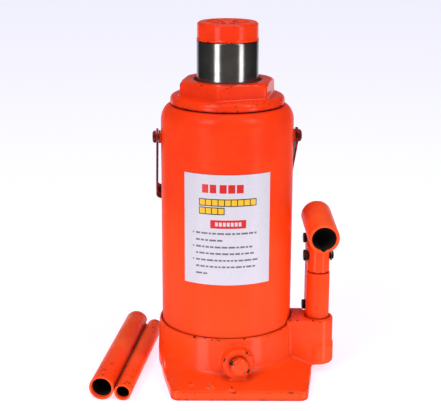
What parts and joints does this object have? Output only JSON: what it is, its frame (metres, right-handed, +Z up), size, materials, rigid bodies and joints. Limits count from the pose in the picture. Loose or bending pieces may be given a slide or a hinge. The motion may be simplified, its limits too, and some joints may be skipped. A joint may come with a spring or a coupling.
{
  "type": "hydraulic bottle jack",
  "caption": "Hydraulic bottle jack: a round oil tank on a cast base, a ram with a grip saddle, a lever pump, a release valve, a carrying bail and loose handle tubes.",
  "frame": {"origin": "on the floor, on the axis of the ram", "axes": "+Z up along the ram; -Y towards the label and the release valve; +X towards the pump"},
  "size_m": [0.2415, 0.1886, 0.352],
  "materials": {
    "paint": "glossy enamel over cast and rolled steel",
    "polished_steel": "ground and polished",
    "machined_steel": "turned, lightly oiled",
    "blackened_steel": "blackened, worn at the edges",
    "copper": "annealed copper",
    "rubber": "matt",
    "seal_plastic": "satin polyurethane",
    "label": "printed film"
  },
  "bodies": {
    "base": {"base_casting": "paint", "reservoir_tank": "paint", "tank_seal": "rubber", "pressure_cylinder": "machined_steel", "cylinder_gasket": "copper", "top_nut": "paint", "nut_seal": "rubber", "ram_wiper": "rubber", "label": "label", "oil_strainer": "copper", "pump_cylinder": "paint", "pump_gasket": "copper", "suction_plug": "machined_steel", "delivery_retainer": "machined_steel", "passage_plug": "machined_steel", "overload_spring": "machined_steel", "overload_screw": "machined_steel", "bail_boss_left": "paint", "bail_boss_right": "paint", "bail_bolt_left": "paint", "bail_bolt_right": "paint"},
    "ram": {"ram": "polished_steel", "saddle": "paint", "piston_cup": "seal_plastic", "cup_washer": "machined_steel", "cup_nut": "machined_steel"},
    "plunger": {"pump_plunger": "paint", "plunger_seal": "seal_plastic", "plunger_pin": "blackened_steel", "plunger_pin_clip": "machined_steel"},
    "socket": {"handle_socket": "paint"},
    "link": {"link_plate_left": "paint", "link_plate_right": "paint", "link_top_pin": "blackened_steel", "link_top_pin_clip": "machined_steel", "link_foot_pin": "blackened_steel", "link_foot_pin_clip": "machined_steel"},
    "release_seal": {"release_valve_seal": "rubber"},
    "release_valve": {"release_valve": "paint", "release_valve_pin": "blackened_steel"},
    "release_ball": {"release_valve_ball": "polished_steel"},
    "suction_ball": {"suction_ball": "polished_steel"},
    "delivery_ball": {"delivery_ball": "polished_steel"},
    "overload_ball": {"overload_ball": "polished_steel"},
    "bail": {"bail": "paint"},
    "filler_plug": {"filler_plug": "rubber"},
    "handle_tube_upper": {"handle_tube_upper": "paint"},
    "handle_tube_lower": {"handle_tube_lower": "paint"}
  },
  "joints": [
    {"name": "ram_lift", "type": "slide", "parent": "base", "child": "ram", "axis": [0, 0, 1], "range_m": [-0.0295, 0.1405]},
    {"name": "plunger_stroke", "type": "slide", "parent": "base", "child": "plunger", "axis": [0, 0, 1], "range_m": [0, 0.02]},
    {"name": "handle_swing", "type": "hinge", "parent": "plunger", "child": "socket", "pos_m": [0.092, -0.01, 0.121], "axis": [-0.998, -0.0628, 0], "range_deg": [0, 40.6]},
    {"name": "link_swing", "type": "hinge", "parent": "socket", "child": "link", "pos_m": [0.0903, 0.01695, 0.131], "axis": [-0.998, -0.0628, 0], "range_deg": [-40.6, 0]},
    {"name": "release_screw_advance", "type": "slide", "parent": "base", "child": "release_seal", "axis": [0.1478, -0.989, 0], "range_m": [0, 0.00112]},
    {"name": "release_valve_turn", "type": "hinge", "parent": "release_seal", "child": "release_valve", "pos_m": [0.01168, -0.07813, 0.031], "axis": [0.1478, -0.989, 0], "range_deg": [0, 270]},
    {"name": "release_ball_slide", "type": "slide", "parent": "base", "child": "release_ball", "axis": [0.1478, -0.989, 0], "range_m": [0, 0.00112]},
    {"name": "suction_ball_lift", "type": "slide", "parent": "base", "child": "suction_ball", "axis": [0, 0, 1], "range_m": [0, 0.0015]},
    {"name": "delivery_ball_lift", "type": "slide", "parent": "base", "child": "delivery_ball", "axis": [0, 0, 1], "range_m": [0, 0.0015]},
    {"name": "overload_ball_lift", "type": "slide", "parent": "base", "child": "overload_ball", "axis": [0, 1, 0], "range_m": [0, 0.001], "stiffness_N_per_m": 2000, "springref_m": -0.002, "deforming": ["overload_spring"]},
    {"name": "bail_swing", "type": "hinge", "parent": "base", "child": "bail", "pos_m": [0, 0, 0.24], "axis": [0.9978, 0.0663, 0], "range_deg": [0, 111]},
    {"name": "filler_plug_pull", "type": "slide", "parent": "base", "child": "filler_plug", "axis": [0, 1, 0], "range_m": [0, 0.02]},
    {"name": "handle_tube_upper_lift", "type": "slide", "parent": "base", "child": "handle_tube_upper", "axis": [0, 0, 1], "range_m": [0, 0.1]},
    {"name": "handle_tube_lower_lift", "type": "slide", "parent": "base", "child": "handle_tube_lower", "axis": [0, 0, 1], "range_m": [0, 0.1]}
  ],
  "couplings": [
    {"joint": "plunger_stroke", "follows": "handle_swing", "m_per_rad": 0.0282},
    {"joint": "link_swing", "follows": "handle_swing", "ratio": -1},
    {"joint": "release_valve_turn", "follows": "release_screw_advance", "rad_per_m": 4188.8},
    {"joint": "release_ball_slide", "follows": "release_screw_advance", "ratio": 1}
  ]
}
